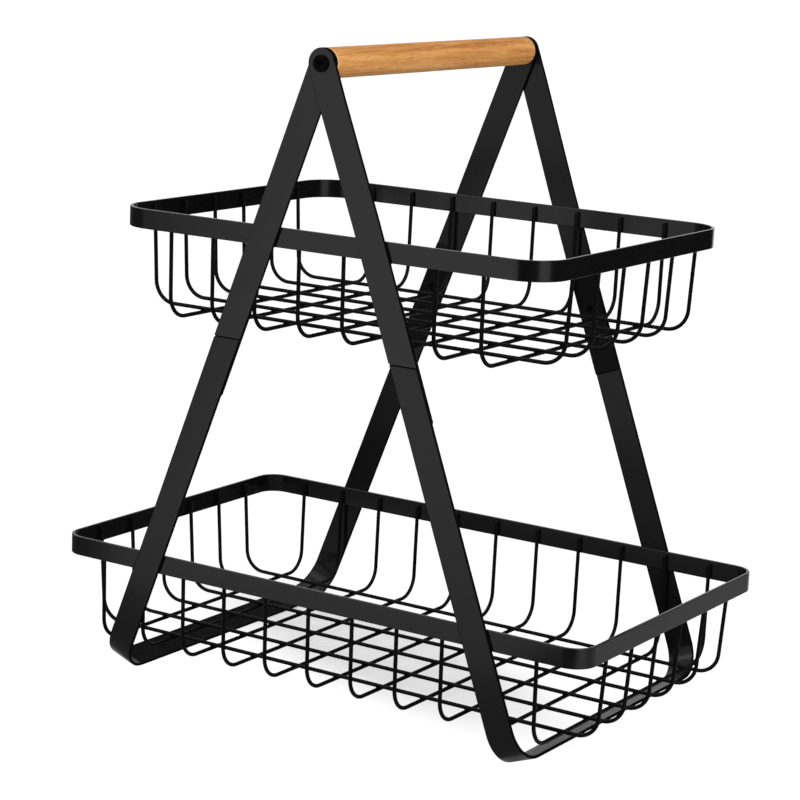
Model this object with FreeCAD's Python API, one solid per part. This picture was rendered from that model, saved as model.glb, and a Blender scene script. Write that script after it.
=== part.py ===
import FreeCAD, Part
import math
import os

# Two-tier wire basket on a leaning flat-bar stand, millimetres.
# The baskets are long in X, the handle runs along Y, +Z is up.
# The origin is on the floor, in the middle between the feet.

# Rims: flat bands bent into rounded rectangles, measured outside
rim_depth = 238.0
rim_band_height = 12.8
rim_band_thickness = 2.0
rim_edge_bevel = 0.4
upper_rim_length = 322.0
upper_rim_corner = 25.0
lower_rim_length = 400.0
lower_rim_corner = 15.0

# Levels, stacked from the floor to the middle of the handle
lower_rim_level = 86.0
tier_rise = 226.0
handle_rise = 102.9

# Flat bar of the stand
bar_width = 19.2
bar_thickness = 2.0
bar_edge_bevel = 0.4
leg_lean = 20.5
foot_bend_radius = 22.0
lap_length = 24.0
joggle_clearance = 9.0

# Joint between the upper legs and the lower frames
seam_drop = 74.0
seam_gap = 1.0
tongue_length = 76.0
tongue_thickness = 1.5
tongue_side_margin = 0.5
screw_edge_distance = 7.0
screw_diameter = 3.0
screw_head_diameter = 5.5
screw_head_height = 0.8
screw_thread_depth = 1.5
screw_hole_clearance = 0.1

# Basket wire
wire_diameter = 2.6
wire_sides = 8
wire_bend_radius = 15.0
wire_bend_steps = 4
wire_top_drop = 2.4
weld_gap = 0.05
cross_inset = 1.2
upper_basket_depth = 69.0
lower_ground_clearance = 16.1
upper_cross_count = 8
upper_cross_margin = 42.45
upper_long_count = 6
upper_long_margin = 36.0
upper_end_inset = 3.2
lower_cross_count = 11
lower_cross_margin = 31.5
lower_long_count = 6
lower_long_margin = 34.5
lower_end_inset = 4.3

# Handle and its two bolts
handle_diameter = 19.0
handle_chamfer = 1.2
bolt_diameter = 6.0
bolt_hole_clearance = 0.2
bolt_head_diameter = 10.5
bolt_head_height = 3.3
bolt_head_brim = 1.2
bolt_head_crown_diameter = 6.4
bolt_socket_width = 4.0
bolt_socket_depth = 2.0
bolt_reach = 11.0
insert_diameter = 8.5
insert_length = 13.0
insert_clearance = 0.05
handle_bore_spare = 3.0

# Worked-out places
upper_rim_level = lower_rim_level + tier_rise
handle_level = upper_rim_level + handle_rise
seam_level = upper_rim_level - seam_drop
half_depth = rim_depth / 2
wire_radius = wire_diameter / 2
upper_wire_level = upper_rim_level - upper_basket_depth
lower_wire_level = lower_ground_clearance + wire_radius
lean_cos = math.cos(math.radians(leg_lean))
lean_sin = math.sin(math.radians(leg_lean))
# The foot stands on the lower line of the bevel along its inner edge.
leg_length = (handle_level - (bar_width / 2 - bar_edge_bevel) * lean_sin) / lean_cos
seam_station = (handle_level - seam_level) / lean_cos
joggle_end = (handle_level - upper_rim_level) / lean_cos - joggle_clearance
screw_station = seam_station - screw_edge_distance

LEFT, RIGHT = -1, 1
FRONT, REAR = -1, 1
SIDE_NAMES = {LEFT: "left", RIGHT: "right"}
END_NAMES = {FRONT: "front", REAR: "rear"}
V = FreeCAD.Vector
Y_AXIS = V(0, 1, 0)
Z_AXIS = V(0, 0, 1)
RIGHT_CORNERS = 1


def save(shape, node):
    """Write one piece, or one group of like pieces, under its own name."""
    shape.exportStep("parts/" + node + ".step")


def on_leg(side, station, y, across=0.0):
    """Point on a leaning leg: station runs down from the handle, across points to the inner edge."""
    x = side * (station * lean_sin - across * lean_cos)
    z = handle_level - station * lean_cos - across * lean_sin
    return V(x, y, z)


def across_bar(side):
    """Full width of the bar, from its outer edge to its inner edge."""
    return on_leg(side, 0, 0, bar_width / 2) - on_leg(side, 0, 0, -bar_width / 2)


def face_of(edges):
    return Part.Face(Part.Wire(edges))


def outline(points):
    """Straight edges through the points, not closed."""
    return [Part.LineSegment(a, b).toShape() for a, b in zip(points, points[1:])]


def arc(start, middle, end):
    return Part.Arc(start, middle, end).toShape()


def eased(solid, size, keep=lambda edge: True):
    """Break the chosen edges by a small bevel, as the coat leaves them."""
    return solid.makeChamfer(size, [edge for edge in solid.Edges if keep(edge)])


def hex_prism(centre, axis, width, depth):
    """Hexagonal socket, width across flats, sunk from centre along axis."""
    radius = width / math.sqrt(3)
    corners = [V(radius * math.cos(k * math.pi / 3), radius * math.sin(k * math.pi / 3), 0) for k in range(7)]
    prism = face_of(outline(corners)).extrude(V(0, 0, depth))
    prism.Placement = FreeCAD.Placement(centre, FreeCAD.Rotation(Z_AXIS, axis))
    return prism


# Stand

def leg_window(side, top_round):
    """Side view of an upper leg: round about the handle, cut level at the seam."""
    half = bar_width / 2
    low = seam_level + seam_gap / 2
    y = -rim_depth
    foot_outer = (handle_level - low + half * lean_sin) / lean_cos
    foot_inner = (handle_level - low - half * lean_sin) / lean_cos
    outer_top = on_leg(side, 0, y, -half)
    inner_top = on_leg(side, 0, y, half)
    crown = on_leg(side, -top_round, y, 0)
    outer_foot = on_leg(side, foot_outer, y, -half)
    inner_foot = on_leg(side, foot_inner, y, half)
    edges = [arc(inner_top, crown, outer_top)] + outline([outer_top, outer_foot, inner_foot, inner_top])
    return face_of(edges).extrude(V(0, 2 * rim_depth, 0))


def bar_strip(side, points):
    """Bar seen edge-on, given as a closed run of (station, y) points, as wide as the bar."""
    placed = [on_leg(side, s, y, -bar_width / 2) for s, y in points]
    return face_of(outline(placed + placed[:1])).extrude(across_bar(side))


def upper_leg(side, end):
    """Upper half of a leg. The right legs step outwards to lap over the left ones at the handle."""
    step = bar_thickness if side == RIGHT else 0.0
    top = -bar_width
    low = seam_station + bar_width
    inner = [(top, half_depth + step), (lap_length, half_depth + step)]
    inner += [(joggle_end, half_depth), (low, half_depth)]
    if not step:
        inner = [inner[0], inner[-1]]
    outer = [(s, y + bar_thickness) for s, y in reversed(inner)]
    strip = bar_strip(side, [(s, end * y) for s, y in inner + outer])
    leg = eased(strip.common(leg_window(side, bar_width / 2)), bar_edge_bevel)
    bolt_hole = Part.makeCylinder(bolt_diameter / 2 + bolt_hole_clearance, rim_depth,
                                  V(0, 0, handle_level), Y_AXIS * end)
    return leg.cut(bolt_hole).cut(screw_hole(side, end))


def screw_hole(side, end):
    """Through the tongue, then blind into the leg from its inner face."""
    start = on_leg(side, screw_station, end * (half_depth - tongue_thickness))
    depth = tongue_thickness + screw_thread_depth + screw_hole_clearance
    return Part.makeCylinder(screw_diameter / 2 + screw_hole_clearance, depth, start, Y_AXIS * end)


def tongue_screw(side, end):
    """Thin flat-head screw, put in from inside the stand."""
    start = on_leg(side, screw_station, end * (half_depth - tongue_thickness))
    axis = Y_AXIS * end
    shank = Part.makeCylinder(screw_diameter / 2, tongue_thickness + screw_thread_depth, start, axis)
    head = Part.makeCylinder(screw_head_diameter / 2, screw_head_height, start, axis * -1)
    return shank.fuse(head)


def joining_tongue(side, end):
    """Flat plate inside the seam, welded below it and screwed above it."""
    half = bar_width / 2 - tongue_side_margin
    y = end * half_depth
    low = seam_station + tongue_length / 2
    high = seam_station - tongue_length / 2
    corners = [(high, -half), (low, -half), (low, half), (high, half), (high, -half)]
    plate = face_of(outline([on_leg(side, s, y, a) for s, a in corners]))
    return plate.extrude(Y_AXIS * (-end * tongue_thickness)).cut(screw_hole(side, end))


def lower_frame(side):
    """One flat bar bent into a leaning U: front leg, floor bar and rear leg."""
    high = seam_station - bar_width

    def run(inset):
        """Front-to-rear line of the U, inset from its outer face."""
        y = half_depth + bar_thickness - inset
        low = leg_length - inset
        radius = foot_bend_radius - inset
        far = radius * (1 - math.sqrt(0.5))
        points = [(high, -y), (low - radius, -y), (low - far, -y + far), (low, -y + radius),
                  (low, y - radius), (low - far, y - far), (low - radius, y), (high, y)]
        return [on_leg(side, s, v, -bar_width / 2) for s, v in points]

    out, inn = run(0.0), run(bar_thickness)
    edges = []
    for p in (out, inn):
        edges += outline(p[0:2]) + [arc(*p[1:4])] + outline(p[3:5]) + [arc(*p[4:7])] + outline(p[6:8])
    edges += outline([out[0], inn[0]]) + outline([out[-1], inn[-1]])
    strip = Part.Face(Part.Wire(Part.sortEdges(edges)[0])).extrude(across_bar(side))
    top = seam_level - seam_gap / 2
    below_seam = Part.makeBox(2 * lower_rim_length, 2 * rim_depth, 2 * top, V(-lower_rim_length, -rim_depth, -top))
    return eased(strip.common(below_seam), bar_edge_bevel)


# Baskets

def rounded_rectangle(length, depth, radius, z):
    x, y = length / 2, depth / 2
    far = radius * (1 - math.sqrt(0.5))
    edges = []
    for sx, sy in ((1, 1), (-1, 1), (-1, -1), (1, -1)):
        side_point = V(sx * x, sy * (y - radius), z)
        long_point = V(sx * (x - radius), sy * y, z)
        edges.append(arc(side_point, V(sx * (x - far), sy * (y - far), z), long_point))
    for sign in (1, -1):
        edges += outline([V(x - radius, sign * y, z), V(radius - x, sign * y, z)])
        edges += outline([V(sign * x, y - radius, z), V(sign * x, radius - y, z)])
    return Part.Face(Part.Wire(Part.sortEdges(edges)[0]))


def rim(length, corner, level):
    """Flat band bent into a closed rounded rectangle, its outer edges eased."""
    wall = rim_band_thickness
    low = level - rim_band_height
    up = V(0, 0, rim_band_height)
    block = rounded_rectangle(length, rim_depth, corner, low).extrude(up)
    block = eased(block, rim_edge_bevel, lambda edge: edge.BoundBox.ZLength < rim_edge_bevel)
    hollow = rounded_rectangle(length - 2 * wall, rim_depth - 2 * wall, corner - wall, low).extrude(up)
    return block.cut(hollow)


def bent_wire(a, b, c, d):
    """Wire along a, b, c, d with its two middle corners bent; wire and bends have few flat sides."""
    stations = [a]
    for before, corner, after in ((a, b, c), (b, c, d)):
        back = (before - corner).normalize()
        onward = (after - corner).normalize()
        half_angle = back.getAngle(onward) / 2
        inward = (back + onward).normalize()
        centre = corner + inward * (wire_bend_radius / math.sin(half_angle))
        sweep = math.pi - 2 * half_angle
        for k in range(wire_bend_steps + 1):
            turn = sweep * (k / wire_bend_steps - 0.5)
            along = (onward - back).normalize() * math.sin(turn)
            stations.append(centre + (along - inward * math.cos(turn)) * wire_bend_radius)
    path = Part.Wire(outline(stations + [d]))
    flat_way = (b - a).cross(c - b).normalize()
    bend_way = (b - a).cross(flat_way).normalize()
    corner_radius = wire_radius / math.cos(math.pi / wire_sides)
    corners = []
    for k in range(wire_sides + 1):
        turn = 2 * math.pi * (k + 0.5) / wire_sides
        corners.append(a + (bend_way * math.cos(turn) + flat_way * math.sin(turn)) * corner_radius)
    section = Part.makePolygon(corners)
    return path.makePipeShell([section], True, False, RIGHT_CORNERS)


def cross_wire(x, rim_level, wire_level):
    """Wire from the front band, under the basket, to the rear band, drawn in a little towards the bottom."""
    high = half_depth - rim_band_thickness - wire_radius - weld_gap
    low = high - cross_inset
    top = rim_level - wire_top_drop
    return bent_wire(V(x, -high, top), V(x, -low, wire_level), V(x, low, wire_level), V(x, high, top))


def long_wire(y, rim_length, rim_level, wire_level, inset):
    """Wire from end band to end band, lying on the cross wires, drawn in a little towards the bottom."""
    high = rim_length / 2 - rim_band_thickness - wire_radius - weld_gap
    low = high - inset
    top = rim_level - wire_top_drop
    level = wire_level + wire_diameter + weld_gap
    return bent_wire(V(-high, y, top), V(-low, y, level), V(low, y, level), V(high, y, top))


def spread(count, reach):
    """Evenly spaced places from minus reach to plus reach."""
    return [-reach + 2 * reach * k / (count - 1) for k in range(count)]


def save_basket(tier, length, corner, level, wire_level, cross, long_run, inset):
    """Write a rim, its cross wires and its long wires; cross and long_run are (count, margin)."""
    save(rim(length, corner, level), tier + "_rim")
    inside_x = length / 2 - rim_band_thickness
    inside_y = half_depth - rim_band_thickness
    for k, x in enumerate(spread(cross[0], inside_x - cross[1]), 1):
        save(cross_wire(x, level, wire_level), f"{tier}_cross_wire_{k}")
    for k, y in enumerate(spread(long_run[0], inside_y - long_run[1]), 1):
        save(long_wire(y, length, level, wire_level, inset), f"{tier}_long_wire_{k}")


# Handle

def handle_grip():
    """Turned dowel between the legs, with a bore in each end for its threaded insert."""
    start = V(0, -half_depth, handle_level)
    dowel = Part.makeCylinder(handle_diameter / 2, rim_depth, start, Y_AXIS)
    ends = [e for e in dowel.Edges if e.Curve.TypeId == "Part::GeomCircle"]
    dowel = dowel.makeChamfer(handle_chamfer, ends)
    depth = insert_length + handle_bore_spare
    for end in (FRONT, REAR):
        mouth = V(0, end * half_depth, handle_level)
        dowel = dowel.cut(Part.makeCylinder(insert_diameter / 2, depth, mouth, Y_AXIS * -end))
    return dowel


def handle_insert(end):
    """Threaded sleeve glued into the dowel, flush with its end."""
    mouth = V(0, end * half_depth, handle_level)
    axis = Y_AXIS * -end
    sleeve = Part.makeCylinder(insert_diameter / 2 - insert_clearance, insert_length, mouth, axis)
    bore = Part.makeCylinder(bolt_diameter / 2 + insert_clearance, insert_length, mouth, axis)
    return sleeve.cut(bore)


def handle_bolt(end):
    """Button-head bolt through the right leg and the left leg into the handle."""
    seat = V(0, end * (half_depth + 2 * bar_thickness), handle_level)
    outward = Y_AXIS * end
    brim = Part.makeCylinder(bolt_head_diameter / 2, bolt_head_brim, seat, outward)
    crown = Part.makeCone(bolt_head_diameter / 2, bolt_head_crown_diameter / 2,
                          bolt_head_height - bolt_head_brim, seat + outward * bolt_head_brim, outward)
    shank = Part.makeCylinder(bolt_diameter / 2, 2 * bar_thickness + bolt_reach, seat, outward * -1)
    top = seat + outward * bolt_head_height
    return brim.multiFuse([crown, shank]).cut(hex_prism(top, outward * -1, bolt_socket_width, bolt_socket_depth))


os.makedirs("parts", exist_ok=True)

for end in (FRONT, REAR):
    for side in (LEFT, RIGHT):
        place = END_NAMES[end] + "_" + SIDE_NAMES[side]
        save(upper_leg(side, end), "upper_leg_" + place)
        save(joining_tongue(side, end), "joining_tongue_" + place)
for side in (LEFT, RIGHT):
    save(lower_frame(side), "lower_frame_" + SIDE_NAMES[side])
screws = [tongue_screw(side, end) for side in (LEFT, RIGHT) for end in (FRONT, REAR)]
save(Part.makeCompound(screws), "tongue_screws")

save_basket("upper", upper_rim_length, upper_rim_corner, upper_rim_level, upper_wire_level,
            (upper_cross_count, upper_cross_margin), (upper_long_count, upper_long_margin), upper_end_inset)
save_basket("lower", lower_rim_length, lower_rim_corner, lower_rim_level, lower_wire_level,
            (lower_cross_count, lower_cross_margin), (lower_long_count, lower_long_margin), lower_end_inset)

save(handle_grip(), "handle_grip")
save(Part.makeCompound([handle_insert(end) for end in (FRONT, REAR)]), "handle_inserts")
save(Part.makeCompound([handle_bolt(end) for end in (FRONT, REAR)]), "handle_bolts")
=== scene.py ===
import math
import bmesh
import bpy
from mathutils import Matrix, Vector


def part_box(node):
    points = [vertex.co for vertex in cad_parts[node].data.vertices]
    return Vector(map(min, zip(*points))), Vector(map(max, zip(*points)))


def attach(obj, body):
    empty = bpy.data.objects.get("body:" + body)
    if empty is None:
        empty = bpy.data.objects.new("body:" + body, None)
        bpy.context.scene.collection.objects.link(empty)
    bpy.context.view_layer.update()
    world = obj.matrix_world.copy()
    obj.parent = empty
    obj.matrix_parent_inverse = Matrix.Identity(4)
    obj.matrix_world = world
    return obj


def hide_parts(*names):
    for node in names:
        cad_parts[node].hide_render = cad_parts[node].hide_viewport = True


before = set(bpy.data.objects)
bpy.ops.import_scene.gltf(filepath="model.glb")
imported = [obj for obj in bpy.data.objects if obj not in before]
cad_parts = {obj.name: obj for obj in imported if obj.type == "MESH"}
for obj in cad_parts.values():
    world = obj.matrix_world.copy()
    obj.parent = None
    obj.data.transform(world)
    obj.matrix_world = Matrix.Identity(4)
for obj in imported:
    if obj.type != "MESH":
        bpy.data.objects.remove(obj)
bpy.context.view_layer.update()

# Sizes in metres. They are those of the solids, apart from eased edges, chamfered or rounded
# ends, weld beads, the rib of coat in the seam, sockets and the flat heads of the handle bolts.
MM = 0.001

# Flat bars of the stand
BAR_WIDTH = 19.2 * MM
BAR_THICKNESS = 2 * MM
BAR_EASE = 0.75 * MM
SOLID_BAR_BEVEL = 0.4 * MM  # the solids stand on the lower line of this bevel
LEG_LEAN = math.radians(20.5)
LEG_TOP_FLAT = 0.02 * MM  # left between the two roundings of a leg's top
LAP_LENGTH = 24 * MM
JOGGLE_CLEARANCE = 9 * MM
FOOT_BEND = 22 * MM
SAWN_OFF = BAR_WIDTH  # bars are made this much longer and sawn off level at the seam

# Seam between upper legs and lower frames, and the tongues that bridge it
SEAM_GAP = 1 * MM
SEAM_RIB_RISE = 0.9 * MM
SEAM_RIB_SHORTER = 0.4 * MM  # than the cut across the leaning bar
SEAM_RIB_PLAY = 0.1 * MM
TONGUE_LENGTH = 76 * MM
TONGUE_WIDTH = 18.2 * MM
TONGUE_THICKNESS = 1.5 * MM
TONGUE_END_CHAMFER = 1 * MM
TONGUE_EASE = 0.25 * MM

# Band rims
RIM_THICKNESS = 2 * MM
RIM_EASE = 0.4 * MM
UPPER_CORNER = 25 * MM
LOWER_CORNER = 15 * MM

# Basket wires, and the half sizes of their weld beads
WIRE_RADIUS = 1.3 * MM
WIRE_BEND = 15 * MM
WIRE_TOP_DROP = 2.4 * MM
WIRE_END_ROUNDING = 0.55 * WIRE_RADIUS
CROSS_INSET = 1.2 * MM
UPPER_END_INSET = 3.2 * MM
LOWER_END_INSET = 4.3 * MM
WELD_GAP = 0.05 * MM
BAND_WELD_WIDTH = 1.3 * MM
BAND_WELD_DEPTH = 0.55 * MM
BAND_WELD_MARGIN = 0.6 * MM
CROSSING_WELD = (1.25 * MM, 1.25 * MM, 0.8 * MM)

# Handle, its bolts, and the tongue screws
HANDLE_CHAMFER = 1.2 * MM
HANDLE_EASE = 0.25 * MM
INSERT_BORE = 8.5 * MM
INSERT_BORE_DEPTH = 16 * MM
BOLT_HOLE = 6.4 * MM
BOLT_DRILL_REACH = BAR_WIDTH
BOLT_DIAMETER = 6 * MM
BOLT_REACH = 11 * MM
BOLT_HEAD_DIAMETER = 10.5 * MM
BOLT_HEAD_HEIGHT = 1.6 * MM
BOLT_BRIM = 1.1 * MM
BOLT_SOCKET = 4 * MM
BOLT_SOCKET_DEPTH = 1.4 * MM
SCREW_EDGE_DISTANCE = 7 * MM
SCREW_HOLE = 3.2 * MM
SCREW_DRILL_REACH = 4 * TONGUE_THICKNESS
SCREW_DIAMETER = 3 * MM
SCREW_REACH = 1.5 * MM
SCREW_HEAD_DIAMETER = 5.5 * MM
SCREW_HEAD_HEIGHT = 0.8 * MM
SCREW_BRIM = SCREW_HEAD_HEIGHT / 2
SCREW_SOCKET = 2 * MM
FASTENER_EASE = 0.12 * MM
SHANK_TIP = 0.1  # length of the tapered tip, in diameters
SHANK_TAPER = 0.82
SOCKET_POINT = 0.25  # depth of the pointed bottom, in widths of the socket

# How finely the round pieces are made
WIRE_SIDES = 20
WIRE_BEND_STEPS = 12
WIRE_END_STEPS = 4
BEAD_SEGMENTS = 10
BEAD_RINGS = 7
CORNER_STEPS = 14
LEG_TOP_STEPS = 12
FOOT_BEND_STEPS = 14
HANDLE_SIDES = 72
HEAD_SIDES = 48
HEAD_EDGE_STEPS = 7
BOLT_HOLE_SIDES = 32
SCREW_HOLE_SIDES = 24
EASE_STEPS = 3
SMALL_EASE_STEPS = 2
SHARP_EDGE = math.radians(35)

# What counts as the same place, as one doubled point, and as facing a direction
SAME_PLACE = 0.05 * MM
DOUBLED_POINT = 0.002 * MM
FACING = 0.5

# Levels and places read from the frame; stations are distances down a leg from the handle
grip_low, grip_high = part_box("handle_grip")
HANDLE_LEVEL = (grip_low.z + grip_high.z) / 2
HANDLE_RADIUS = (grip_high.z - grip_low.z) / 2
HALF_DEPTH = grip_high.y
UPPER_RIM_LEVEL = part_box("upper_rim")[1].z
SEAM_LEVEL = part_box("upper_leg_front_left")[0].z - SEAM_GAP / 2
LEAN_COS = math.cos(LEG_LEAN)
LEAN_SIN = math.sin(LEG_LEAN)
FOOT_EDGE = BAR_WIDTH / 2 - SOLID_BAR_BEVEL
LEG_LENGTH = (HANDLE_LEVEL - FOOT_EDGE * LEAN_SIN) / LEAN_COS
SEAM_STATION = (HANDLE_LEVEL - SEAM_LEVEL) / LEAN_COS
JOGGLE_END = (HANDLE_LEVEL - UPPER_RIM_LEVEL) / LEAN_COS - JOGGLE_CLEARANCE
SCREW_STATION = SEAM_STATION - SCREW_EDGE_DISTANCE
SIDES = {"left": -1, "right": 1}
ENDS = {"front": -1, "rear": 1}


# Ways of working

def only(piece):
    """Make this the one selected piece."""
    bpy.ops.object.select_all(action="DESELECT")
    piece.select_set(True)
    bpy.context.view_layer.objects.active = piece


def settle(name):
    """Name the primitive just added and move its place and size into its mesh."""
    piece = bpy.context.object
    piece.name = name
    piece.data.name = name
    bpy.ops.object.transform_apply(location=True, rotation=True, scale=True)
    return piece


def edit(piece):
    """Open one piece for shaping."""
    only(piece)
    bpy.ops.object.mode_set(mode="EDIT")


def leave():
    """Close the piece that is being shaped."""
    bpy.ops.object.mode_set(mode="OBJECT")


def pick(piece, kind, test):
    """In edit mode, select the vertices, edges or faces that pass the test."""
    bpy.ops.mesh.select_mode(type=kind)
    bpy.ops.mesh.select_all(action="DESELECT")
    mesh = bmesh.from_edit_mesh(piece.data)
    for part in {"VERT": mesh.verts, "EDGE": mesh.edges, "FACE": mesh.faces}[kind]:
        if test(part):
            part.select_set(True)
    mesh.select_flush_mode()
    bmesh.update_edit_mesh(piece.data)


def pick_all(kind):
    """In edit mode, select all vertices, edges or faces."""
    bpy.ops.mesh.select_mode(type=kind)
    bpy.ops.mesh.select_all(action="SELECT")


def same(first, second):
    """True where two measures agree."""
    return abs(first - second) < SAME_PLACE


def centred_on(spot):
    """Test for the face that has its middle at a place."""
    return lambda face: (face.calc_center_median() - spot).length < SAME_PLACE


def push(way):
    """Extrude what is selected along a vector."""
    bpy.ops.mesh.extrude_region_move(TRANSFORM_OT_translate={"value": tuple(way)})


def swing(centre, axis, turn, steps):
    """Spin what is selected round a bend, right-handed about the axis."""
    bpy.ops.mesh.spin(steps=steps, angle=-turn, center=tuple(centre), axis=tuple(axis))


def outward():
    """In edit mode, merge doubled points and turn every face outwards."""
    bpy.ops.mesh.select_all(action="SELECT")
    bpy.ops.mesh.remove_doubles(threshold=DOUBLED_POINT)
    bpy.ops.mesh.normals_make_consistent(inside=False)


def rectangle(name, place, width, depth):
    """Flat rectangle that lies level."""
    bpy.ops.object.select_all(action="DESELECT")
    bpy.ops.mesh.primitive_plane_add(size=1, location=place)
    bpy.ops.transform.resize(value=(width, depth, 1))
    return settle(name)


def block(name, low, high):
    """Box from its lowest to its highest corner."""
    bpy.ops.object.select_all(action="DESELECT")
    bpy.ops.mesh.primitive_cube_add(size=1, location=(low + high) / 2)
    bpy.ops.transform.resize(value=high - low)
    return settle(name)


def cylinder(name, start, end, radius, sides):
    """Round bar between two points."""
    bpy.ops.object.select_all(action="DESELECT")
    way = end - start
    turn = way.to_track_quat("Z", "Y").to_euler()
    bpy.ops.mesh.primitive_cylinder_add(vertices=sides, radius=radius, depth=way.length,
                                        location=(start + end) / 2, rotation=turn)
    return settle(name)


def modifier_on(piece, kind):
    """Add a modifier to a piece, to be set and applied."""
    only(piece)
    bpy.ops.object.modifier_add(type=kind)
    return piece.modifiers[-1]


def cut_with(piece, tool):
    """Take the tool's shape out of the piece, and the tool away."""
    cut = modifier_on(piece, "BOOLEAN")
    cut.operation = "DIFFERENCE"
    cut.solver = "EXACT"
    cut.object = tool
    bpy.ops.object.modifier_apply(modifier=cut.name)
    bpy.data.objects.remove(tool)


def drill(piece, spot, way, diameter, sides):
    """Drill a hole through a piece at a spot; the drill reaches as far as the way on both sides."""
    cut_with(piece, cylinder("drill", spot - way, spot + way, diameter / 2, sides))


def coat(piece, outer_finish, is_inner, is_edge):
    """Give a bar its outer finish, and darker copies of the coat as painted shade on its inner side
    and edges, by tests on its faces.
    """
    for finish in (outer_finish, SHADED_INNER_COAT, SHADED_EDGE_COAT):
        piece.data.materials.append(finish)
    edit(piece)
    for index, test in ((1, is_inner), (2, is_edge)):
        pick(piece, "FACE", test)
        piece.active_material_index = index
        bpy.ops.object.material_slot_assign()
    leave()


def round_edges(piece, width, segments=EASE_STEPS):
    """Round the sharp edges, in the last of the finishes that the piece has; on legs and frames
    that is the painted-shade edge coat.
    """
    only(piece)
    bpy.ops.object.shade_smooth()
    rounding = modifier_on(piece, "BEVEL")
    rounding.width = width
    rounding.segments = segments
    rounding.limit_method = "ANGLE"
    rounding.angle_limit = SHARP_EDGE
    rounding.use_clamp_overlap = True
    rounding.material = len(piece.data.materials) - 1
    bpy.ops.object.modifier_apply(modifier=rounding.name)


def shade_flat_faces(piece):
    """Keep the shading of flat faces flat up to their rounded edges."""
    flat = modifier_on(piece, "WEIGHTED_NORMAL")
    flat.keep_sharp = True
    bpy.ops.object.modifier_apply(modifier=flat.name)


def ease(piece, width, segments=EASE_STEPS):
    """Round the sharp edges, and shade the flat faces flat."""
    round_edges(piece, width, segments)
    shade_flat_faces(piece)


def copy_to(piece, name, shift):
    """Copy a piece, with its own mesh, to a place moved by a vector."""
    only(piece)
    bpy.ops.object.duplicate(linked=False)
    twin = bpy.context.object
    twin.name = name
    twin.data.name = name
    bpy.ops.transform.translate(value=shift)
    bpy.ops.object.transform_apply(location=True, rotation=False, scale=False)


def stand_for(piece, node, finish=None):
    """Hang a finished piece under the root body, hide the node it stands for, and give it a finish
    where one is given.
    """
    if finish:
        piece.data.materials.append(finish)
    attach(piece, "root")
    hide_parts(node)


# Finishes

def new_finish(name):
    """Empty finish, with its nodes and links."""
    finish = bpy.data.materials.new(name)
    finish.use_nodes = True
    return finish, finish.node_tree.nodes, finish.node_tree.links


def noise(nodes, links, place, scale, detail, roughness=0.5):
    """Cloudy value from 0 to 1."""
    made = nodes.new("ShaderNodeTexNoise")
    made.inputs["Scale"].default_value = scale
    made.inputs["Detail"].default_value = detail
    made.inputs["Roughness"].default_value = roughness
    links.new(place, made.inputs["Vector"])
    return made.outputs["Fac"]


def ramp(nodes, links, value, stops):
    """Colour ramp through (position, colour) stops."""
    made = nodes.new("ShaderNodeValToRGB")
    bar = made.color_ramp.elements
    while len(bar) < len(stops):
        bar.new(0.5)
    for element, (position, colour) in zip(bar, stops):
        element.position = position
        element.color = (*colour, 1)
    links.new(value, made.inputs["Fac"])
    return made.outputs["Color"]


def patches(nodes, links, value, start, stop, most):
    """Share that grows from none to the most between two values."""
    return ramp(nodes, links, value, [(start, (0, 0, 0)), (stop, (most, most, most))])


def spread(nodes, links, value, low, high, start=0, stop=1):
    """Map a value between start and stop to the range from low to high."""
    made = nodes.new("ShaderNodeMapRange")
    made.inputs["From Min"].default_value = start
    made.inputs["From Max"].default_value = stop
    made.inputs["To Min"].default_value = low
    made.inputs["To Max"].default_value = high
    links.new(value, made.inputs["Value"])
    return made.outputs["Result"]


def reckon(nodes, links, operation, *values):
    """Result of a sum on one or two values."""
    made = nodes.new("ShaderNodeMath")
    made.operation = operation
    for index, value in enumerate(values):
        links.new(value, made.inputs[index])
    return made.outputs[0]


def bump(nodes, links, height, depth, strength, under=None):
    """Fine relief, on top of another where one is given."""
    made = nodes.new("ShaderNodeBump")
    made.inputs["Distance"].default_value = depth
    made.inputs["Strength"].default_value = strength
    links.new(height, made.inputs["Height"])
    if under:
        links.new(under, made.inputs["Normal"])
    return made.outputs["Normal"]


def object_place(nodes):
    """Object coordinates."""
    return nodes.new("ShaderNodeTexCoord").outputs["Object"]


def stretched(nodes, links, scale):
    """Object coordinates, scaled along each axis."""
    made = nodes.new("ShaderNodeMapping")
    made.inputs["Scale"].default_value = scale
    links.new(object_place(nodes), made.inputs["Vector"])
    return made.outputs["Vector"]


def blended(nodes, links, share, first, second, way="MIX"):
    """Blend of two colours by a share, each a plain value or another node's output."""
    made = nodes.new("ShaderNodeMix")
    made.data_type = "RGBA"
    made.blend_type = way
    for socket, value in (("Factor_Float", share), ("A_Color", first), ("B_Color", second)):
        place = next(i for i in made.inputs if i.identifier == socket)
        if isinstance(value, bpy.types.NodeSocket):
            links.new(value, place)
        else:
            place.default_value = value
    return next(o for o in made.outputs if o.identifier == "Result_Color")


def cool_black(level, blue_trace=0.0001):
    """Near-black grey with a trace of blue."""
    return level, level, level + blue_trace


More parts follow.
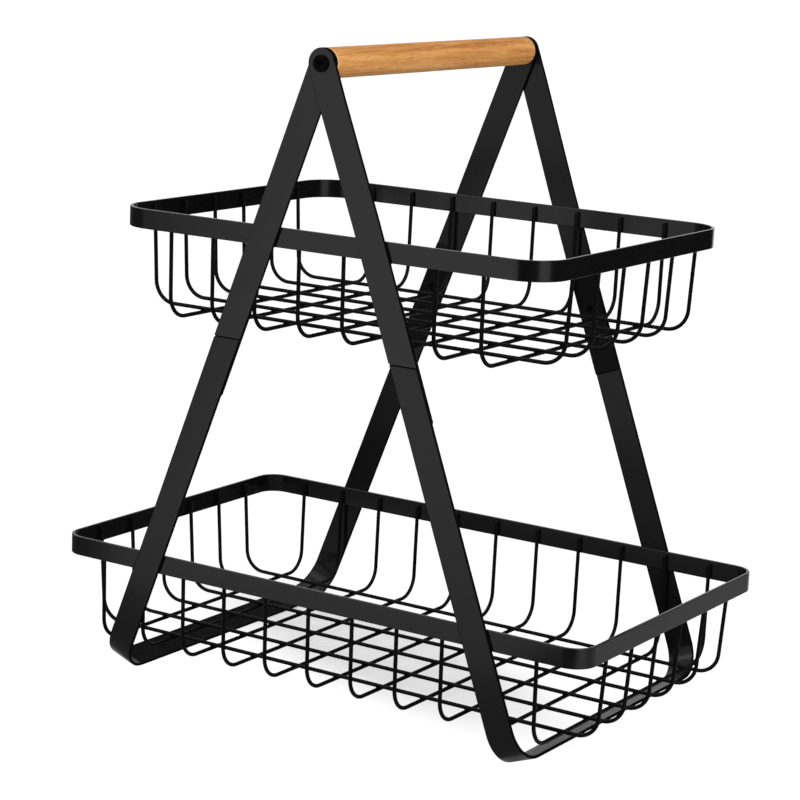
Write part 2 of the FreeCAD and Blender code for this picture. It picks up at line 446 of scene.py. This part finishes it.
def powder_coat(name, dark, light, least_rough, most_rough, specular):
    """Satin baked coat: fine orange-peel skin, slightly cloudy colour and gloss."""
    finish, nodes, links = new_finish(name)
    shader = nodes["Principled BSDF"]
    place = object_place(nodes)
    cloud = noise(nodes, links, place, scale=38, detail=4)
    colour = ramp(nodes, links, cloud, [(0.3, cool_black(dark)), (0.7, cool_black(light))])
    links.new(colour, shader.inputs["Base Color"])
    patch = noise(nodes, links, place, scale=160, detail=5, roughness=0.6)
    links.new(spread(nodes, links, patch, least_rough, most_rough), shader.inputs["Roughness"])
    dimple = noise(nodes, links, place, scale=420, detail=2)
    peel = bump(nodes, links, dimple, depth=0.05 * MM, strength=0.07)
    grit = noise(nodes, links, place, scale=2200, detail=2)
    skin = bump(nodes, links, grit, depth=0.015 * MM, strength=0.1, under=peel)
    links.new(skin, shader.inputs["Normal"])
    shader.inputs["Specular IOR Level"].default_value = specular
    return finish


def blackened_steel(name):
    """Black-finished fastener steel with a fine grain."""
    finish, nodes, links = new_finish(name)
    shader = nodes["Principled BSDF"]
    place = object_place(nodes)
    cloud = noise(nodes, links, place, scale=300, detail=3)
    colour = ramp(nodes, links, cloud, [(0.35, cool_black(0.0010)), (0.7, cool_black(0.0022))])
    links.new(colour, shader.inputs["Base Color"])
    links.new(spread(nodes, links, cloud, low=0.40, high=0.55), shader.inputs["Roughness"])
    grain = noise(nodes, links, place, scale=4000, detail=2)
    relief = bump(nodes, links, grain, depth=0.01 * MM, strength=0.4)
    links.new(relief, shader.inputs["Normal"])
    shader.inputs["Specular IOR Level"].default_value = 0.03
    return finish


def zinc_plate(name):
    """Bright plated sleeve with a faint bloom."""
    finish, nodes, links = new_finish(name)
    shader = nodes["Principled BSDF"]
    bloom = noise(nodes, links, object_place(nodes), scale=500, detail=4)
    dull, bright = (0.48, 0.47, 0.43), (0.62, 0.61, 0.58)
    colour = ramp(nodes, links, bloom, [(0.3, dull), (0.7, bright)])
    links.new(colour, shader.inputs["Base Color"])
    links.new(spread(nodes, links, bloom, low=0.25, high=0.45), shader.inputs["Roughness"])
    shader.inputs["Metallic"].default_value = 1
    return finish


def growth_rings(nodes, links):
    """Wavy lines of darker wood along the handle, as shades to multiply with."""
    ring = nodes.new("ShaderNodeTexWave")
    ring.wave_type = "BANDS"
    ring.bands_direction = "X"
    ring.inputs["Scale"].default_value = 95
    ring.inputs["Distortion"].default_value = 5
    ring.inputs["Detail"].default_value = 3
    ring.inputs["Detail Scale"].default_value = 1.2
    links.new(stretched(nodes, links, (1, 0.04, 0.55)), ring.inputs["Vector"])
    late_wood, early_wood = (0.90, 0.86, 0.82), (1, 1, 1)
    return ramp(nodes, links, ring.outputs["Fac"], [(0.2, late_wood), (0.8, early_wood)])


def handle_ends(nodes, links):
    """Share that is 1 on the chamfers and the end faces of the handle."""
    apart = nodes.new("ShaderNodeSeparateXYZ")
    links.new(object_place(nodes), apart.inputs["Vector"])
    from_middle = reckon(nodes, links, "ABSOLUTE", apart.outputs["Y"])
    return spread(nodes, links, from_middle, low=0, high=1,
                  start=HALF_DEPTH - 1.3 * HANDLE_CHAMFER, stop=HALF_DEPTH - 0.9 * HANDLE_CHAMFER)


def turned_beech(name):
    """Oiled beech, grain along the handle, with short dark flecks, pale dashes painted in as
    glints, and chamfered ends painted paler as a highlight.
    """
    brown, honey, straw = (0.52, 0.207, 0.050), (0.66, 0.297, 0.082), (0.75, 0.368, 0.116)
    fleck_brown = (0.40, 0.140, 0.034, 1)
    glint_straw = (0.84, 0.46, 0.165, 1)
    end_highlight = (0.74, 0.47, 0.24, 1)
    finish, nodes, links = new_finish(name)
    shader = nodes["Principled BSDF"]
    long_grain = stretched(nodes, links, (1, 0.05, 1))
    streak = noise(nodes, links, long_grain, scale=260, detail=6, roughness=0.62)
    wood = ramp(nodes, links, streak, [(0.36, brown), (0.5, honey), (0.64, straw)])
    wood = blended(nodes, links, 1.0, wood, growth_rings(nodes, links), "MULTIPLY")
    short_grain = stretched(nodes, links, (1, 0.09, 1))
    fleck = noise(nodes, links, short_grain, scale=800, detail=2, roughness=0.4)
    flecks = patches(nodes, links, fleck, start=0.60, stop=0.70, most=0.6)
    wood = blended(nodes, links, flecks, wood, fleck_brown)
    # Painted glints: short pale dashes along the grain.
    dash_grain = stretched(nodes, links, (1.1, 0.16, 1.1))
    dash = noise(nodes, links, dash_grain, scale=700, detail=2, roughness=0.4)
    painted_glints = patches(nodes, links, dash, start=0.58, stop=0.70, most=0.45)
    wood = blended(nodes, links, painted_glints, wood, glint_straw)
    # Painted highlight: the chamfers and end faces are painted paler.
    wood = blended(nodes, links, handle_ends(nodes, links), wood, end_highlight)
    links.new(wood, shader.inputs["Base Color"])
    links.new(spread(nodes, links, streak, low=0.62, high=0.44), shader.inputs["Roughness"])
    pore = bump(nodes, links, fleck, depth=0.05 * MM, strength=0.35)
    relief = bump(nodes, links, streak, depth=0.06 * MM, strength=0.4, under=pore)
    links.new(relief, shader.inputs["Normal"])
    shader.inputs["Specular IOR Level"].default_value = 0.22
    return finish


# Coats: darkest and lightest grey, least and most roughness, specular level
BAR_COAT = powder_coat("bar_coat", 0.0026, 0.0040, 0.17, 0.22, 0.36)
FRAME_COAT = powder_coat("frame_coat", 0.0025, 0.0038, 0.18, 0.23, 0.30)
# Painted shade: the inner faces of legs and frames get this darker, less glossy copy of the coat.
SHADED_INNER_COAT = powder_coat("shaded_inner_coat", 0.0025, 0.0038, 0.19, 0.24, 0.22)
# Painted shade: the narrow sides and rounded edges of legs and frames get this darker, dull copy of
# the coat.
SHADED_EDGE_COAT = powder_coat("shaded_edge_coat", 0.0016, 0.0024, 0.44, 0.54, 0.02)
# Painted shade: the tongues and the rib in the seam get this dull, dark copy of the coat, so that
# the seam shows as a dark line.
SHADED_TONGUE_COAT = powder_coat("shaded_tongue_coat", 0.0024, 0.0036, 0.34, 0.44, 0.07)
WIRE_COAT = powder_coat("wire_coat", 0.0020, 0.0030, 0.32, 0.42, 0.06)
BOLT_FINISH = blackened_steel("bolt_finish")
SLEEVE_FINISH = zinc_plate("sleeve_finish")
HANDLE_FINISH = turned_beech("handle_finish")


# Basket wires

def round_wire(name, a, b, c, d):
    """Disc pushed along a, b, c, d and swung round the two middle corners, with rounded ends."""
    bpy.ops.object.select_all(action="DESELECT")
    turn = (b - a).to_track_quat("Z", "Y").to_euler()
    bpy.ops.mesh.primitive_circle_add(vertices=WIRE_SIDES, radius=WIRE_RADIUS, fill_type="NGON",
                                      location=a, rotation=turn)
    wire = settle(name)
    edit(wire)
    pick_all("FACE")
    at = a
    for before, corner, after in ((a, b, c), (b, c, d)):
        ahead = (corner - before).normalized()
        onward = (after - corner).normalized()
        angle = ahead.angle(onward)
        reach = WIRE_BEND * math.tan(angle / 2)
        entry = corner - ahead * reach
        inward = (onward - ahead * ahead.dot(onward)).normalized()
        push(entry - at)
        swing(entry + inward * WIRE_BEND, ahead.cross(onward).normalized(), angle,
              WIRE_BEND_STEPS)
        at = corner + onward * reach
    push(d - at)
    pick(wire, "FACE", lambda face: len(face.verts) == WIRE_SIDES)
    bpy.ops.mesh.bevel(offset=WIRE_END_ROUNDING, segments=WIRE_END_STEPS, affect="EDGES")
    outward()
    leave()
    only(wire)
    bpy.ops.object.shade_smooth()
    return wire


def add_bead(wire, centre, half_size):
    """Small coated weld, added to the wire's own mesh."""
    edit(wire)
    bpy.ops.mesh.select_all(action="DESELECT")
    bpy.ops.mesh.primitive_uv_sphere_add(segments=BEAD_SEGMENTS, ring_count=BEAD_RINGS, radius=1,
                                         location=centre)
    bpy.ops.transform.resize(value=half_size, center_override=centre)
    bpy.ops.mesh.faces_shade_smooth()
    leave()


def in_order(prefix, axis):
    """Nodes whose names begin alike, sorted by where they lie along an axis."""
    nodes = [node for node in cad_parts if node.startswith(prefix)]
    return sorted(nodes, key=lambda node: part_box(node)[0][axis])


def lay_wires(nodes, rim, along, inset, crossed=()):
    """Wires of one direction: the first is modelled and welded to the band, then copied."""
    rim_low, rim_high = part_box(rim)
    low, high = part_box(nodes[0])

    def spot(distance, level):
        place = Vector(((low.x + high.x) / 2, (low.y + high.y) / 2, level))
        place[along] = distance
        return place

    top = rim_high.z - WIRE_TOP_DROP
    bottom = low.z + WIRE_RADIUS
    band = rim_high[along] - RIM_THICKNESS
    reach = band - WIRE_RADIUS - WELD_GAP
    drawn = reach - inset
    first = round_wire(nodes[0] + "_round", spot(-reach, top), spot(-drawn, bottom),
                       spot(drawn, bottom), spot(reach, top))

    weld = [BAND_WELD_WIDTH, BAND_WELD_WIDTH, (high.z - rim_low.z) / 2 - BAND_WELD_MARGIN]
    weld[along] = BAND_WELD_DEPTH
    for sign in (-1, 1):
        add_bead(first, spot(sign * band, (rim_low.z + high.z) / 2), weld)
    for node in crossed:
        under_low, under_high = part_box(node)
        add_bead(first, spot((under_low[along] + under_high[along]) / 2, low.z), CROSSING_WELD)

    across = 1 - along
    for node in nodes[1:]:
        shift = [0, 0, 0]
        shift[across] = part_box(node)[0][across] - low[across]
        copy_to(first, node + "_round", shift)


def basket_wires(tier, end_inset):
    """Cross wires from front to rear, and long wires on top of them from end to end."""
    rim, x, y = tier + "_rim", 0, 1
    crosses = in_order(tier + "_cross_wire_", x)
    longs = in_order(tier + "_long_wire_", y)
    lay_wires(crosses, rim, y, CROSS_INSET)
    lay_wires(longs, rim, x, end_inset, crosses)
    for node in crosses + longs:
        stand_for(bpy.data.objects[node + "_round"], node, WIRE_COAT)


# Rims

def band_rim(node, corner):
    """Plane with rounded corners, cut to a ring and raised to the height of the band."""
    low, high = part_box(node)
    rim = rectangle(node + "_band", (0, 0, low.z), high.x - low.x, high.y - low.y)
    edit(rim)
    pick_all("VERT")
    bpy.ops.mesh.bevel(offset=corner, segments=CORNER_STEPS, affect="VERTICES")
    pick_all("FACE")
    bpy.ops.mesh.inset(thickness=RIM_THICKNESS)
    bpy.ops.mesh.delete(type="FACE")
    bpy.ops.mesh.select_all(action="SELECT")
    push((0, 0, high.z - low.z))
    outward()
    leave()
    ease(rim, RIM_EASE)
    stand_for(rim, node, BAR_COAT)


# Stand

def lean(side):
    """Swing all of an upright piece about the handle to the lean of the legs."""
    bpy.ops.mesh.select_all(action="SELECT")
    bpy.ops.transform.rotate(value=side * LEG_LEAN, orient_axis="Y",
                             center_override=(0, 0, HANDLE_LEVEL))


def trim(piece, level, keep_above):
    """Saw a piece off level, close the cut and leave its edge sharp."""
    edit(piece)
    bpy.ops.mesh.select_all(action="SELECT")
    bpy.ops.mesh.bisect(plane_co=(0, 0, level), plane_no=(0, 0, 1), use_fill=True,
                        clear_inner=keep_above, clear_outer=not keep_above)
    pick(piece, "EDGE", lambda edge: all(same(v.co.z, level) for v in edge.verts))
    bpy.ops.mesh.mark_sharp()
    outward()
    leave()


def on_leg(side, station, y):
    """Point on the middle line of a leg, at a distance down from the handle."""
    return Vector((side * station * LEAN_SIN, y, HANDLE_LEVEL - station * LEAN_COS))


def upper_leg(node, side, end):
    """Flat bar with a round top; the right legs step outwards to lap over the left ones."""
    half = BAR_WIDTH / 2
    near, far = sorted((end * HALF_DEPTH, end * (HALF_DEPTH + BAR_THICKNESS)))
    top = HANDLE_LEVEL + half
    low = HANDLE_LEVEL - SEAM_STATION - SAWN_OFF
    leg = block(node + "_bar", Vector((-half, near, low)), Vector((half, far, top)))
    edit(leg)
    if side > 0:
        for station in (LAP_LENGTH, JOGGLE_END):
            bpy.ops.mesh.select_all(action="SELECT")
            bpy.ops.mesh.bisect(plane_co=(0, 0, HANDLE_LEVEL - station), plane_no=(0, 0, 1))
        lap_end = HANDLE_LEVEL - LAP_LENGTH - SAME_PLACE
        pick(leg, "VERT", lambda vert: vert.co.z > lap_end)
        bpy.ops.transform.translate(value=(0, end * BAR_THICKNESS, 0))

    def at_top_corner(edge):
        first, second = (v.co for v in edge.verts)
        return (same(first.x, second.x) and same(abs(first.x), half)
                and same(first.z, top) and same(second.z, top))

    pick(leg, "EDGE", at_top_corner)
    bpy.ops.mesh.bevel(offset=half - LEG_TOP_FLAT / 2, segments=LEG_TOP_STEPS, affect="EDGES")
    lean(side)
    outward()
    leave()
    bolt_way = Vector((0, end * BOLT_DRILL_REACH, 0))
    drill(leg, on_leg(side, 0, end * HALF_DEPTH), bolt_way, BOLT_HOLE, BOLT_HOLE_SIDES)
    coat(leg, BAR_COAT,
         is_inner=lambda face: face.normal.y * end < -FACING,
         is_edge=lambda face: abs(face.normal.y) < FACING)
    round_edges(leg, BAR_EASE)
    trim(leg, SEAM_LEVEL + SEAM_GAP / 2, True)
    shade_flat_faces(leg)
    stand_for(leg, node)


def lower_frame(node, side):
    """Bar section pushed down the front leg, along the floor and up the rear leg, then leant."""
    outer = HALF_DEPTH + BAR_THICKNESS
    start = HANDLE_LEVEL - SEAM_STATION + SAWN_OFF
    bend = HANDLE_LEVEL - LEG_LENGTH + FOOT_BEND
    along = outer - FOOT_BEND
    x_axis, quarter_turn = (1, 0, 0), math.pi / 2
    bar = rectangle(node + "_bar", (0, BAR_THICKNESS / 2 - outer, start), BAR_WIDTH, BAR_THICKNESS)
    edit(bar)
    pick_all("FACE")
    push((0, 0, bend - start))
    swing((0, -along, bend), x_axis, quarter_turn, FOOT_BEND_STEPS)
    push((0, 2 * along, 0))
    swing((0, along, bend), x_axis, quarter_turn, FOOT_BEND_STEPS)
    push((0, 0, start - bend))
    lean(side)
    outward()
    leave()
    across = Vector((LEAN_COS, 0, side * LEAN_SIN))
    middle = Vector((0, 0, HANDLE_LEVEL))
    coat(bar, FRAME_COAT,
         is_inner=lambda face: face.normal.dot(middle - face.calc_center_median()) > 0,
         is_edge=lambda face: abs(face.normal.dot(across)) > FACING)
    round_edges(bar, BAR_EASE)
    trim(bar, SEAM_LEVEL - SEAM_GAP / 2, False)
    shade_flat_faces(bar)
    stand_for(bar, node)


def joining_tongue(node, side, end):
    """Plate inside the seam with chamfered ends and a screw hole, and the rib of coat in the seam,
    both in the dull coat that paints shade into the seam.
    """
    inner = end * (HALF_DEPTH - TONGUE_THICKNESS)
    near, far = sorted((end * HALF_DEPTH, inner))
    middle = HANDLE_LEVEL - SEAM_STATION
    tongue = block(node + "_plate", Vector((-TONGUE_WIDTH / 2, near, middle - TONGUE_LENGTH / 2)),
                   Vector((TONGUE_WIDTH / 2, far, middle + TONGUE_LENGTH / 2)))

    def at_inner_end(edge):
        first, second = (v.co for v in edge.verts)
        return same(first.z, second.z) and same(first.y, inner) and same(second.y, inner)

    edit(tongue)
    pick(tongue, "EDGE", at_inner_end)
    bpy.ops.mesh.bevel(offset=TONGUE_END_CHAMFER, segments=1, affect="EDGES")
    lean(side)
    outward()
    leave()
    screw_spot = on_leg(side, SCREW_STATION, end * HALF_DEPTH)
    screw_way = Vector((0, end * SCREW_DRILL_REACH, 0))
    drill(tongue, screw_spot, screw_way, SCREW_HOLE, SCREW_HOLE_SIDES)
    ease(tongue, TONGUE_EASE, SMALL_EASE_STEPS)
    seam = on_leg(side, SEAM_STATION, end * (HALF_DEPTH + SEAM_RIB_RISE / 2))
    rib = (BAR_WIDTH / LEAN_COS - SEAM_RIB_SHORTER, SEAM_RIB_RISE, SEAM_GAP - SEAM_RIB_PLAY)
    edit(tongue)
    bpy.ops.mesh.select_all(action="DESELECT")
    bpy.ops.mesh.primitive_cube_add(size=1, location=seam)
    bpy.ops.transform.resize(value=rib, center_override=seam)
    leave()
    stand_for(tongue, node, SHADED_TONGUE_COAT)


# Fasteners and handle

def hex_socket(name, mouth, way, across, depth):
    """Six-sided tool with a pointed tip, for cutting a socket."""
    tip = mouth + way * depth
    tool = cylinder(name, mouth - way * depth, tip, across / math.sqrt(3), 6)
    edit(tool)
    pick(tool, "FACE", centred_on(tip))
    push(way * across * SOCKET_POINT)
    bpy.ops.mesh.merge(type="CENTER")
    outward()
    leave()
    return tool


def headed_bolt(name, seat, outwards, head, height, brim, shank, reach, socket, socket_depth):
    """Round head with a rounded edge and a hexagon socket, on a plain shank."""
    top = seat + outwards * height
    bolt = cylinder(name, seat, top, head / 2, HEAD_SIDES)
    edit(bolt)
    pick(bolt, "FACE", centred_on(top))
    bpy.ops.mesh.bevel(offset=height - brim, segments=HEAD_EDGE_STEPS, affect="EDGES")
    pick(bolt, "FACE", centred_on(seat))
    bpy.ops.mesh.inset(thickness=(head - shank) / 2)
    push(outwards * -(reach - shank * SHANK_TIP))
    push(outwards * -(shank * SHANK_TIP))
    bpy.ops.transform.resize(value=(SHANK_TAPER, SHANK_TAPER, SHANK_TAPER),
                             center_override=seat - outwards * reach)
    outward()
    leave()
    cut_with(bolt, hex_socket("socket_cutter", top, outwards * -1, socket, socket_depth))
    ease(bolt, FASTENER_EASE, SMALL_EASE_STEPS)
    return bolt


def fastener_group(pieces, node):
    """Join like fasteners to one piece, because they are one node."""
    bpy.ops.object.select_all(action="DESELECT")
    for piece in pieces:
        piece.select_set(True)
    bpy.context.view_layer.objects.active = pieces[0]
    bpy.ops.object.join()
    group = bpy.context.object
    group.name = node + "_set"
    group.data.name = group.name
    stand_for(group, node, BOLT_FINISH)


def handle_bolts():
    """One bolt at each end of the handle, through both lapped legs."""
    bolts = []
    for name, end in ENDS.items():
        seat = Vector((0, end * (HALF_DEPTH + 2 * BAR_THICKNESS), HANDLE_LEVEL))
        bolts.append(headed_bolt(
            "handle_bolt_" + name, seat, Vector((0, end, 0)), head=BOLT_HEAD_DIAMETER,
            height=BOLT_HEAD_HEIGHT, brim=BOLT_BRIM, shank=BOLT_DIAMETER,
            reach=2 * BAR_THICKNESS + BOLT_REACH, socket=BOLT_SOCKET,
            socket_depth=BOLT_SOCKET_DEPTH))
    fastener_group(bolts, "handle_bolts")


def tongue_screws():
    """One small screw through each tongue, its thin head inside the stand."""
    screws = []
    for end_name, end in ENDS.items():
        for side_name, side in SIDES.items():
            seat = on_leg(side, SCREW_STATION, end * (HALF_DEPTH - TONGUE_THICKNESS))
            screws.append(headed_bolt(
                "tongue_screw_" + end_name + side_name, seat, Vector((0, -end, 0)),
                head=SCREW_HEAD_DIAMETER, height=SCREW_HEAD_HEIGHT, brim=SCREW_BRIM,
                shank=SCREW_DIAMETER, reach=TONGUE_THICKNESS + SCREW_REACH,
                socket=SCREW_SOCKET, socket_depth=SCREW_HEAD_HEIGHT))
    fastener_group(screws, "tongue_screws")


def handle_dowel():
    """Turned dowel with chamfered ends, bored at both ends for its sleeves."""
    front = Vector((0, -HALF_DEPTH, HANDLE_LEVEL))
    rear = Vector((0, HALF_DEPTH, HANDLE_LEVEL))
    dowel = cylinder("handle_dowel", front, rear, HANDLE_RADIUS, HANDLE_SIDES)
    edit(dowel)
    pick(dowel, "FACE", lambda face: len(face.verts) == HANDLE_SIDES)
    bpy.ops.mesh.bevel(offset=HANDLE_CHAMFER, segments=1, affect="EDGES")
    for tip in (front, rear):
        pick(dowel, "FACE", centred_on(tip))
        bpy.ops.mesh.inset(thickness=HANDLE_RADIUS - HANDLE_CHAMFER - INSERT_BORE / 2)
        push(Vector((0, -tip.y, 0)).normalized() * INSERT_BORE_DEPTH)
    outward()
    leave()
    ease(dowel, HANDLE_EASE)
    stand_for(dowel, "handle_grip", HANDLE_FINISH)


basket_wires("upper", UPPER_END_INSET)
basket_wires("lower", LOWER_END_INSET)
band_rim("upper_rim", UPPER_CORNER)
band_rim("lower_rim", LOWER_CORNER)
for end_name, end in ENDS.items():
    for side_name, side in SIDES.items():
        upper_leg("upper_leg_" + end_name + "_" + side_name, side, end)
        joining_tongue("joining_tongue_" + end_name + "_" + side_name, side, end)
for side_name, side in SIDES.items():
    lower_frame("lower_frame_" + side_name, side)
handle_bolts()
tongue_screws()
handle_dowel()
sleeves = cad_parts["handle_inserts"]
sleeves.data.materials.clear()
sleeves.data.materials.append(SLEEVE_FINISH)


# Floor, light and camera

FLOOR_SIZE = 60
FLOOR_LEVEL = -0.05 * MM
FLOOR_GREY = 0.85
FLOOR_WHITE = 1.05
FLOOR_SHADE_PLACE = (-0.045, 0.034, 0)
FLOOR_SHADE_TURN = math.radians(-22.6)
FLOOR_SHADE_REACH = (0.185, 0.062, 1)
AMBIENT = 0.45
CARD_LEVEL = 0.2 * MM
CARD_TOP = 1.2
CARD_ROUGHNESS = 0.9
LAMP_AIM = (0, 0, 0.2)
CAMERA_AZIMUTH = math.radians(32.559)
CAMERA_ELEVATION = math.radians(11.8)
CAMERA_ROLL = math.radians(2.506)
CAMERA_AIM = (-11.947 * MM, 0, 187.567 * MM)
CAMERA_DISTANCE = 1.6395
CAMERA_LENS = 111.189
CAMERA_SENSOR = 36


def gloss_share(nodes, links, path):
    """1 for what a gloss shows, or what is seen through glass."""
    return reckon(nodes, links, "MAXIMUM", path.outputs["Is Glossy Ray"],
                  path.outputs["Is Transmission Ray"])


def distance_from(nodes, links, place, turn, reach):
    """Distance from a place, in shares of a turned oval's reach."""
    oval = nodes.new("ShaderNodeMapping")
    oval.vector_type = "TEXTURE"
    oval.inputs["Location"].default_value = place
    oval.inputs["Rotation"].default_value = (0, 0, turn)
    oval.inputs["Scale"].default_value = reach
    links.new(object_place(nodes), oval.inputs["Vector"])
    made = nodes.new("ShaderNodeVectorMath")
    made.operation = "LENGTH"
    links.new(oval.outputs["Vector"], made.inputs[0])
    return made.outputs["Value"]


def show_mixed(nodes, links, share, first, second, output):
    """Show a mix of two shaders, with the second one's share."""
    mix = nodes.new("ShaderNodeMixShader")
    links.new(share, mix.inputs["Fac"])
    links.new(first.outputs[0], mix.inputs[1])
    links.new(second.outputs[0], mix.inputs[2])
    links.new(mix.outputs[0], nodes[output].inputs["Surface"])


def pale_floor():
    """Pale floor that turns white away from the object and keeps the shadow near it."""
    floor = rectangle("studio_floor", (0, 0, FLOOR_LEVEL), FLOOR_SIZE, FLOOR_SIZE)
    finish, nodes, links = new_finish("white_floor")
    nodes.remove(nodes["Principled BSDF"])
    matt = nodes.new("ShaderNodeBsdfDiffuse")
    matt.inputs["Color"].default_value = (FLOOR_GREY, FLOOR_GREY, FLOOR_GREY, 1)
    white = nodes.new("ShaderNodeEmission")
    white.inputs["Strength"].default_value = FLOOR_WHITE
    from_middle = distance_from(nodes, links, (0, 0, 0), 0, (1, 1, 1))
    from_shade = distance_from(nodes, links, FLOOR_SHADE_PLACE, FLOOR_SHADE_TURN, FLOOR_SHADE_REACH)
    path = nodes.new("ShaderNodeLightPath")
    seen = reckon(nodes, links, "MULTIPLY", path.outputs["Is Camera Ray"],
                  spread(nodes, links, from_shade, low=0.42, high=1, start=0.6, stop=1.3))
    shown = reckon(nodes, links, "MULTIPLY", gloss_share(nodes, links, path),
                   spread(nodes, links, from_middle, low=0, high=1, start=0.35, stop=0.9))
    share = reckon(nodes, links, "ADD", seen, shown)
    show_mixed(nodes, links, share, matt, white, "Material Output")
    floor.data.materials.append(finish)


def lying(*spots):
    """Corners of a card on the floor."""
    return [(x, y, CARD_LEVEL) for x, y in spots]


def standing(start, stop, low=CARD_LEVEL, high=CARD_TOP):
    """Corners of an upright card between two spots."""
    return [(*start, low), (*stop, low), (*start, high), (*stop, high)]


def gloss_card(name, shade, corners):
    """Dark or grey card that only the gloss of the coat shows."""
    card = rectangle(name, (0, 0, 0), 1, 1)
    for vert, place in zip(card.data.vertices, corners):
        vert.co = place
    finish, nodes, _ = new_finish(name)
    shader = nodes["Principled BSDF"]
    shader.inputs["Base Color"].default_value = (shade, shade, shade, 1)
    shader.inputs["Roughness"].default_value = CARD_ROUGHNESS
    card.data.materials.append(finish)
    card.visible_camera = False
    card.visible_diffuse = False
    card.visible_shadow = False


def soft_world():
    """Plain ambient light, with a white backdrop for the camera and for glosses."""
    world = bpy.data.worlds.new("studio")
    bpy.context.scene.world = world
    world.use_nodes = True
    nodes, links = world.node_tree.nodes, world.node_tree.links
    ambient = nodes["Background"]
    ambient.inputs["Strength"].default_value = AMBIENT
    backdrop = nodes.new("ShaderNodeBackground")
    backdrop.inputs["Strength"].default_value = 1
    for light in (ambient, backdrop):
        light.inputs["Color"].default_value = (1, 1, 1, 1)
    path = nodes.new("ShaderNodeLightPath")
    direct = reckon(nodes, links, "MAXIMUM", path.outputs["Is Camera Ray"],
                    gloss_share(nodes, links, path))
    show_mixed(nodes, links, direct, ambient, backdrop, "World Output")


def softbox(name, place, width, height, power):
    """Soft lamp turned to the object."""
    data = bpy.data.lights.new(name, "AREA")
    data.shape = "RECTANGLE"
    data.size = width
    data.size_y = height
    data.energy = power
    lamp = bpy.data.objects.new(name, data)
    lamp.location = place
    lamp.rotation_euler = (Vector(LAMP_AIM) - Vector(place)).to_track_quat("-Z", "Y").to_euler()
    bpy.context.scene.collection.objects.link(lamp)


def photo_camera():
    """Camera where the photograph was taken from, tilted a little."""
    azimuth, elevation, roll = CAMERA_AZIMUTH, CAMERA_ELEVATION, CAMERA_ROLL
    back = Vector((math.sin(azimuth) * math.cos(elevation),
                   -math.cos(azimuth) * math.cos(elevation), math.sin(elevation)))
    level = Vector((math.cos(azimuth), math.sin(azimuth), 0))
    up = back.cross(level)
    across = math.cos(roll) * level + math.sin(roll) * up
    upward = math.cos(roll) * up - math.sin(roll) * level
    data = bpy.data.cameras.new("photo_camera")
    data.sensor_width = CAMERA_SENSOR
    data.lens = CAMERA_LENS
    camera = bpy.data.objects.new("photo_camera", data)
    turn = Matrix((across, upward, back)).transposed().to_4x4()
    camera.matrix_world = Matrix.Translation(Vector(CAMERA_AIM) + back * CAMERA_DISTANCE) @ turn
    bpy.context.scene.collection.objects.link(camera)
    bpy.context.scene.camera = camera


# Cards: name, shade and corners
CARDS = (
    ("front_floor_card", 0.02, lying((-0.05, -1.9), (1.6, -1.25), (0.05, -0.28), (0.45, -0.30))),
    ("front_card", 0.02, standing((1.6, -1.25), (-0.1, -1.9))),
    ("foot_floor_card", 0.3, lying((-0.60, -0.27), (0.30, -0.27), (-0.40, -0.112), (0.24, -0.112))),
    ("left_floor_card", 0.02, lying((-5.5, -3.95), (-3.0, -3.95), (-5.5, -0.28), (-0.30, -0.28))),
    ("left_rear_floor_card", 0.05, lying((-5.5, -0.28), (-0.25, -0.28), (-5.5, 4.0), (-1.0, 4.0))),
    ("left_card", 0.05, standing((-5.5, -3.95), (-5.5, 4.0))),
    ("side_floor_card", 0.02, lying((0.60, -0.16), (1.75, -0.30), (0.56, 0.6), (1.15, 1.3))),
    ("side_grey_card", 0.5, lying((0.28, -0.06), (0.60, -0.16), (0.25, 0.65), (0.56, 0.6))),
    # Painted shadow in the gloss: this grey card under the basket stands for the floor's shade
    # there, seen only in reflections.
    ("under_grey_card", 0.2, lying((-0.16, -0.10), (0.135, -0.10), (-0.16, 0.08), (0.135, 0.10))),
    ("rear_floor_card", 0.02, lying((-0.10, 0.08), (0.20, 0.10), (-0.10, 0.50), (0.20, 0.50))),
    ("far_floor_card", 0.02, lying((0.34, 0.65), (0.56, 0.6), (0.30, 1.9), (1.15, 1.3))),
    ("side_card", 0.02, standing((1.15, 1.3), (1.75, -0.30))),
    ("rear_card", 0.02, standing((0.30, 1.9), (1.15, 1.3))),
    ("upper_card", 0.12, standing((-2.2, 2.0), (0.6, 2.0), low=0.95, high=2.8)),
)

# Lamps: name, place, width, height and power
LAMPS = (
    ("key_light", (-1.3, -1.5, 1.7), 1.2, 1.2, 14),
    ("fill_light", (1.8, -1.2, 1.2), 1.0, 1.0, 28),
    ("top_light", (0, 0.2, 2.2), 1.6, 1.2, 6),
)

pale_floor()
for card in CARDS:
    gloss_card(*card)
soft_world()
for lamp in LAMPS:
    softbox(*lamp)
photo_camera()
bpy.context.scene.view_settings.view_transform = "Standard"
